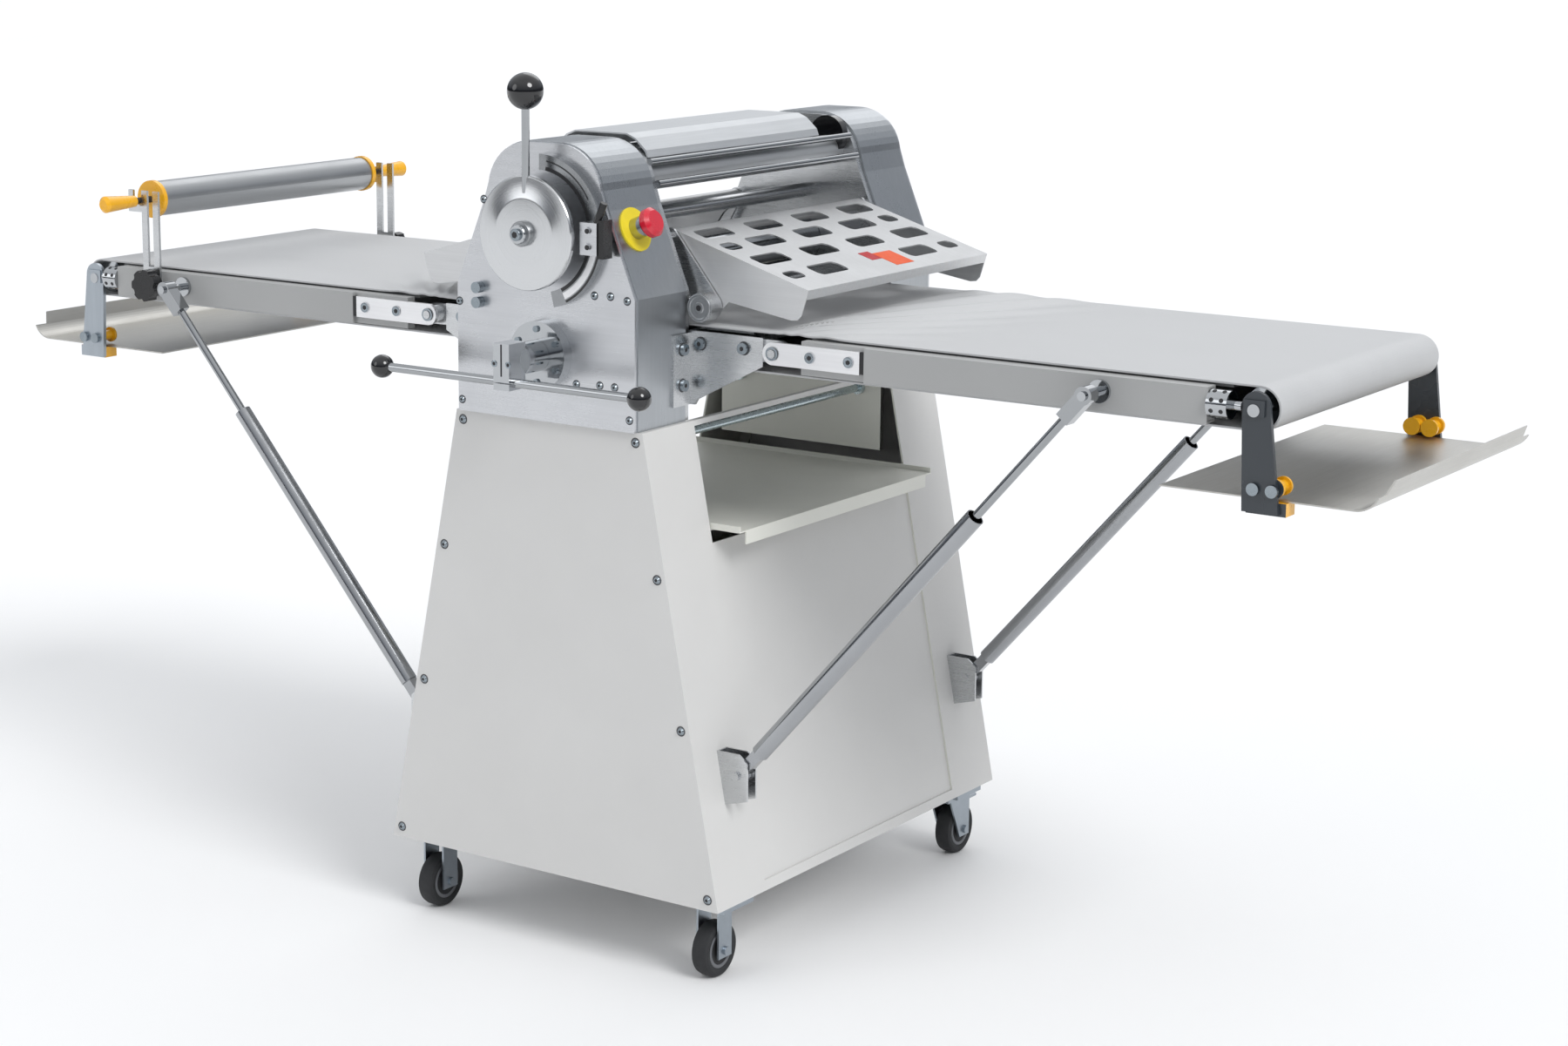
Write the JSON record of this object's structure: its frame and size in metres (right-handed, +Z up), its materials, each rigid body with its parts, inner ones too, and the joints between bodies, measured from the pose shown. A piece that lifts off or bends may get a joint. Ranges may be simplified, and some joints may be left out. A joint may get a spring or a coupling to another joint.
{
  "type": "dough sheeter",
  "caption": "Floor-standing dough sheeter: tapered cabinet on casters, roller head with lever and shift handle, two folding belt wings on struts, guards, catch trays and a rolling pin.",
  "frame": {"origin": "on the floor, at the middle of the sheeting rollers", "axes": "+X along the belts to the right wing, -Y towards the operator's side with the lever and the shift handle, +Z up"},
  "size_m": [2.334, 0.8928, 1.256],
  "materials": {
    "paint": "satin light grey powder coat",
    "steel": "brushed stainless",
    "bright": "bright brushed stainless",
    "chrome": "polished",
    "alu": "machined",
    "black": "gloss",
    "black_matte": "satin",
    "belt": "woven belt with a smooth coat",
    "yellow": "gloss",
    "red": "gloss",
    "bracket": "dark coat",
    "wheel": "grey tread",
    "zinc": "zinc plate"
  },
  "bodies": {
    "base": {"cabinet_shell": "paint", "cover_panels": "paint", "side_panels": "paint", "screws": "chrome", "side_frames": "bright", "head_covers": "steel", "head_plates": "alu", "top_cover": "bright", "cross_rods": "chrome", "scale_ring": "black_matte", "estop_base": "yellow", "wing_brackets": "bright", "fixed_beds": "steel", "fixed_belts": "belt", "handle_flange": "chrome", "caster_mounts": "zinc"},
    "lower_roller": {"lower_roller": "chrome"},
    "roller_carriage": {"roller_carriage": "steel"},
    "upper_roller": {"upper_roller": "chrome"},
    "drive_roller_right": {"drive_roller_right": "steel"},
    "drive_roller_left": {"drive_roller_left": "steel"},
    "lever": {"lever_disc": "chrome", "lever_rod": "chrome", "lever_ball": "black"},
    "gap_stop": {"gap_stop": "alu"},
    "shift_handle": {"handle_hub": "chrome", "handle_bar": "chrome", "handle_balls": "black"},
    "estop_button": {"estop_button": "red"},
    "crumb_tray": {"crumb_tray": "bright"},
    "guard_shaft_right": {"guard_shaft_right": "chrome"},
    "guard_right": {"guard_right": "bright"},
    "guard_shaft_left": {"guard_shaft_left": "chrome"},
    "guard_left": {"guard_left": "bright"},
    "wing_right": {"wing_frame_right": "paint", "wing_fittings_right": "chrome", "wing_belt_right": "belt", "end_brackets_right": "bracket"},
    "wing_left": {"wing_frame_left": "paint", "wing_fittings_left": "chrome", "wing_belt_left": "belt", "end_brackets_left": "bracket", "pin_holders": "bright"},
    "rolling_pin": {"rolling_pin": "steel"},
    "pin_knobs": {"pin_knobs": "black_matte"},
    "wheel_front_right": {"wheel_front_right": "wheel"},
    "wheel_front_left": {"wheel_front_left": "wheel"},
    "fork_rear_right": {"fork_rear_right": "zinc"},
    "fork_rear_left": {"fork_rear_left": "zinc"},
    "wheel_rear_right": {"wheel_rear_right": "wheel"},
    "wheel_rear_left": {"wheel_rear_left": "wheel"},
    "end_roller_right": {"end_roller_right": "chrome"},
    "catch_tray_right": {"catch_tray_right": "bright"},
    "strut_tubes_right": {"strut_tubes_right": "chrome"},
    "strut_rods_right": {"strut_rods_right": "chrome"},
    "end_roller_left": {"end_roller_left": "chrome"},
    "catch_tray_left": {"catch_tray_left": "bright"},
    "strut_tubes_left": {"strut_tubes_left": "chrome"},
    "strut_rods_left": {"strut_rods_left": "chrome"}
  },
  "joints": [
    {"name": "lower_roller_spin", "type": "hinge", "parent": "base", "child": "lower_roller", "pos_m": [0, 0, 0.872], "axis": [0, 1, 0], "continuous": true},
    {"name": "lever_turn", "type": "hinge", "parent": "base", "child": "lever", "pos_m": [0, -0.424, 1.039], "axis": [0, 1, 0], "range_deg": [-60, 60]},
    {"name": "gap_slide", "type": "slide", "parent": "base", "child": "roller_carriage", "axis": [0, 0, 1], "range_m": [-0.019, 0.019]},
    {"name": "upper_roller_spin", "type": "hinge", "parent": "roller_carriage", "child": "upper_roller", "pos_m": [0, 0, 0.964], "axis": [0, 1, 0], "continuous": true},
    {"name": "drive_roller_right_spin", "type": "hinge", "parent": "base", "child": "drive_roller_right", "pos_m": [0.076, 0, 0.879], "axis": [0, 1, 0], "continuous": true},
    {"name": "fold_right", "type": "hinge", "parent": "base", "child": "wing_right", "pos_m": [0.302, 0, 0.8825], "axis": [0, -1, 0], "range_deg": [0, 80]},
    {"name": "end_roller_right_spin", "type": "hinge", "parent": "wing_right", "child": "end_roller_right", "pos_m": [1, 0, 0.879], "axis": [0, 1, 0], "continuous": true},
    {"name": "catch_tray_right_slide", "type": "slide", "parent": "wing_right", "child": "catch_tray_right", "axis": [1, 0, 0], "range_m": [0, 0.15]},
    {"name": "strut_tubes_right_turn", "type": "hinge", "parent": "base", "child": "strut_tubes_right", "pos_m": [0.283, 0, 0.297], "axis": [0, -1, 0], "range_deg": [0, 36]},
    {"name": "strut_rods_right_turn", "type": "hinge", "parent": "wing_right", "child": "strut_rods_right", "pos_m": [0.795, 0, 0.883], "axis": [0, -1, 0], "range_deg": [-46, 0]},
    {"name": "guard_shaft_right_turn", "type": "hinge", "parent": "base", "child": "guard_shaft_right", "pos_m": [0.112, 0, 1.026], "axis": [0, -1, 0], "range_deg": [0, 65.1]},
    {"name": "guard_right_lift", "type": "hinge", "parent": "guard_shaft_right", "child": "guard_right", "pos_m": [0.112, 0, 1.026], "axis": [0, -1, 0], "range_deg": [0, 40]},
    {"name": "drive_roller_left_spin", "type": "hinge", "parent": "base", "child": "drive_roller_left", "pos_m": [-0.076, 0, 0.879], "axis": [0, 1, 0], "continuous": true},
    {"name": "fold_left", "type": "hinge", "parent": "base", "child": "wing_left", "pos_m": [-0.302, 0, 0.8825], "axis": [0, 1, 0], "range_deg": [0, 80]},
    {"name": "end_roller_left_spin", "type": "hinge", "parent": "wing_left", "child": "end_roller_left", "pos_m": [-1, 0, 0.879], "axis": [0, 1, 0], "continuous": true},
    {"name": "catch_tray_left_slide", "type": "slide", "parent": "wing_left", "child": "catch_tray_left", "axis": [-1, 0, 0], "range_m": [0, 0.15]},
    {"name": "strut_tubes_left_turn", "type": "hinge", "parent": "base", "child": "strut_tubes_left", "pos_m": [-0.283, 0, 0.297], "axis": [0, 1, 0], "range_deg": [0, 36]},
    {"name": "strut_rods_left_turn", "type": "hinge", "parent": "wing_left", "child": "strut_rods_left", "pos_m": [-0.795, 0, 0.883], "axis": [0, 1, 0], "range_deg": [-46, 0]},
    {"name": "guard_shaft_left_turn", "type": "hinge", "parent": "base", "child": "guard_shaft_left", "pos_m": [-0.112, 0, 1.026], "axis": [0, 1, 0], "range_deg": [0, 65.1]},
    {"name": "guard_left_lift", "type": "hinge", "parent": "guard_shaft_left", "child": "guard_left", "pos_m": [-0.112, 0, 1.026], "axis": [0, 1, 0], "range_deg": [0, 40]},
    {"name": "gap_stop_turn", "type": "hinge", "parent": "base", "child": "gap_stop", "pos_m": [0, -0.41, 1.039], "axis": [0, 1, 0], "range_deg": [0, 60]},
    {"name": "shift_turn", "type": "hinge", "parent": "base", "child": "shift_handle", "pos_m": [0, -0.45, 0.868], "axis": [0, 1, 0], "range_deg": [-15, 15]},
    {"name": "estop_press", "type": "slide", "parent": "base", "child": "estop_button", "axis": [-0.9254, 0, -0.379], "range_m": [0, 0.004], "stiffness_N_per_m": 800},
    {"name": "crumb_tray_slide", "type": "slide", "parent": "base", "child": "crumb_tray", "axis": [1, 0, 0], "range_m": [0, 0.2]},
    {"name": "rolling_pin_spin", "type": "hinge", "parent": "wing_left", "child": "rolling_pin", "pos_m": [-0.887, 0, 1.0113], "axis": [0, 1, 0], "continuous": true},
    {"name": "pin_knob_turn", "type": "hinge", "parent": "wing_left", "child": "pin_knobs", "pos_m": [-0.855, 0, 0.8825], "axis": [0, 1, 0], "continuous": true},
    {"name": "wheel_front_right_spin", "type": "hinge", "parent": "base", "child": "wheel_front_right", "pos_m": [0.248, -0.328, 0.04], "axis": [1, 0, 0], "continuous": true},
    {"name": "fork_rear_right_swivel", "type": "hinge", "parent": "base", "child": "fork_rear_right", "pos_m": [0.248, 0.314, 0.09], "axis": [0, 0, 1], "continuous": true},
    {"name": "wheel_rear_right_spin", "type": "hinge", "parent": "fork_rear_right", "child": "wheel_rear_right", "pos_m": [0.248, 0.342, 0.04], "axis": [1, 0, 0], "continuous": true},
    {"name": "wheel_front_left_spin", "type": "hinge", "parent": "base", "child": "wheel_front_left", "pos_m": [-0.248, -0.328, 0.04], "axis": [1, 0, 0], "continuous": true},
    {"name": "fork_rear_left_swivel", "type": "hinge", "parent": "base", "child": "fork_rear_left", "pos_m": [-0.248, 0.314, 0.09], "axis": [0, 0, 1], "continuous": true},
    {"name": "wheel_rear_left_spin", "type": "hinge", "parent": "fork_rear_left", "child": "wheel_rear_left", "pos_m": [-0.248, 0.342, 0.04], "axis": [1, 0, 0], "continuous": true}
  ],
  "couplings": [
    {"joint": "gap_slide", "follows": "lever_turn", "m_per_rad": -0.01814},
    {"joint": "upper_roller_spin", "follows": "lower_roller_spin", "ratio": -1},
    {"joint": "drive_roller_right_spin", "follows": "lower_roller_spin", "ratio": 1.24},
    {"joint": "end_roller_right_spin", "follows": "lower_roller_spin", "ratio": 1.24},
    {"joint": "strut_tubes_right_turn", "follows": "fold_right", "ratio": 0.44186},
    {"joint": "strut_rods_right_turn", "follows": "fold_right", "ratio": -0.55813},
    {"joint": "guard_shaft_right_turn", "follows": "fold_right", "ratio": 0.8125},
    {"joint": "drive_roller_left_spin", "follows": "lower_roller_spin", "ratio": 1.24},
    {"joint": "end_roller_left_spin", "follows": "lower_roller_spin", "ratio": 1.24},
    {"joint": "strut_tubes_left_turn", "follows": "fold_left", "ratio": 0.44186},
    {"joint": "strut_rods_left_turn", "follows": "fold_left", "ratio": -0.55813},
    {"joint": "guard_shaft_left_turn", "follows": "fold_left", "ratio": 0.8125}
  ]
}
